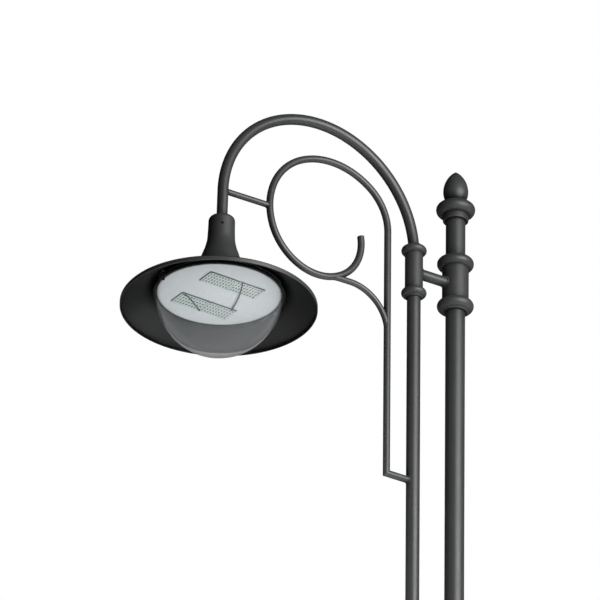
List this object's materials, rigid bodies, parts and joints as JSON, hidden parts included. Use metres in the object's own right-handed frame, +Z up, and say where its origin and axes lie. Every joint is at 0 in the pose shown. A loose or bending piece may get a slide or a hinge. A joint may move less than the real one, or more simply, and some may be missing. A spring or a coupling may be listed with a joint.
{
  "type": "street lamp post",
  "caption": "Tubular street lamp post with turned collars, half-circle arm, scroll bracket and a pendant trumpet-shade luminaire with a clear bowl; access door in the lower shaft.",
  "frame": {"origin": "on the column's axis, at the underside of the base plate", "axes": "+Z up the column; the arm reaches towards -X; the access door faces -Y"},
  "size_m": [1.3688, 0.6, 4.0304],
  "materials": {
    "post_paint": "satin powder coat, charcoal grey",
    "cast_paint": "satin powder coat on cast aluminium, charcoal grey",
    "iron_paint": "satin paint on cast iron, charcoal grey",
    "shade_paint": "satin powder coat on spun aluminium, nearly black inside",
    "tray_white": "matt white powder coat",
    "led_board": "white solder mask with rows of small emitters",
    "bowl_clear": "clear, polished",
    "heat_sink": "bare extruded aluminium",
    "bare_steel": "zinc plated",
    "brass": "plain",
    "gasket": "matt silicone foam",
    "black_plastic": "moulded, matt",
    "grey_plastic": "moulded, fine texture"
  },
  "bodies": {
    "post": {"base_plate": "post_paint", "lower_shaft": "post_paint", "door_hinge_block": "post_paint", "main_post": "post_paint", "bridge_upper": "post_paint", "bridge_lower": "post_paint", "second_tube": "post_paint", "arm": "post_paint", "scroll_riser": "post_paint", "scroll_hoop": "post_paint", "scroll_branch": "post_paint", "scroll_foot": "post_paint", "luminaire_strut": "post_paint", "post_cap": "cast_paint", "finial": "cast_paint", "main_collar_upper": "cast_paint", "main_collar_lower": "cast_paint", "small_collar_upper": "cast_paint", "small_collar_lower": "cast_paint", "second_tube_cap": "cast_paint", "neck_casting": "cast_paint", "base_casting": "iron_paint", "shaft_reducer": "iron_paint", "shade": "shade_paint", "gear_tray": "tray_white", "led_board_1": "led_board", "led_board_2": "led_board", "led_board_3": "led_board", "led_board_4": "led_board", "heat_sink": "heat_sink", "door_hinge_pin": "bare_steel", "collar_screw_upper": "bare_steel", "collar_screw_lower": "bare_steel", "neck_screw_1": "bare_steel", "neck_screw_2": "bare_steel", "neck_screw_3": "bare_steel", "neck_bolt_1": "bare_steel", "neck_bolt_2": "bare_steel", "neck_bolt_3": "bare_steel", "neck_bolt_4": "bare_steel", "tray_pillar_1": "bare_steel", "tray_pillar_2": "bare_steel", "tray_pillar_3": "bare_steel", "tray_pillar_4": "bare_steel", "bowl_hinge_bracket": "bare_steel", "bowl_hinge_pin": "bare_steel", "earth_stud": "brass", "bowl_gasket": "gasket", "backboard": "black_plastic", "cable_gland": "black_plastic", "terminal_block": "black_plastic", "fuse_box": "grey_plastic", "led_driver": "grey_plastic"},
    "door": {"access_door": "post_paint"},
    "lock": {"door_lock": "bare_steel"},
    "fuse_carrier": {"fuse_carrier": "black_plastic"},
    "bowl_frame": {"bowl": "bowl_clear", "bowl_ring": "shade_paint"},
    "catch": {"bowl_catch": "black_plastic"}
  },
  "joints": [
    {"name": "door_hinge", "type": "hinge", "parent": "post", "child": "door", "pos_m": [0.04965, -0.03879, 0.525], "axis": [0, 0, 1], "range_deg": [0, 110]},
    {"name": "door_lock_turn", "type": "hinge", "parent": "door", "child": "lock", "pos_m": [-0.0265, -0.0459, 0.525], "axis": [-0.5, -0.866, 0], "range_deg": [0, 90]},
    {"name": "fuse_pull", "type": "slide", "parent": "post", "child": "fuse_carrier", "axis": [0, -1, 0], "range_m": [0, 0.025]},
    {"name": "bowl_hinge", "type": "hinge", "parent": "post", "child": "bowl_frame", "pos_m": [-0.6487, 0, 3.31211], "axis": [0, -1, 0], "range_deg": [0, 75]},
    {"name": "bowl_catch_turn", "type": "hinge", "parent": "bowl_frame", "child": "catch", "pos_m": [-1.0638, 0, 3.31348], "axis": [0.0262, 0, 0.9997], "range_deg": [0, 90]}
  ]
}
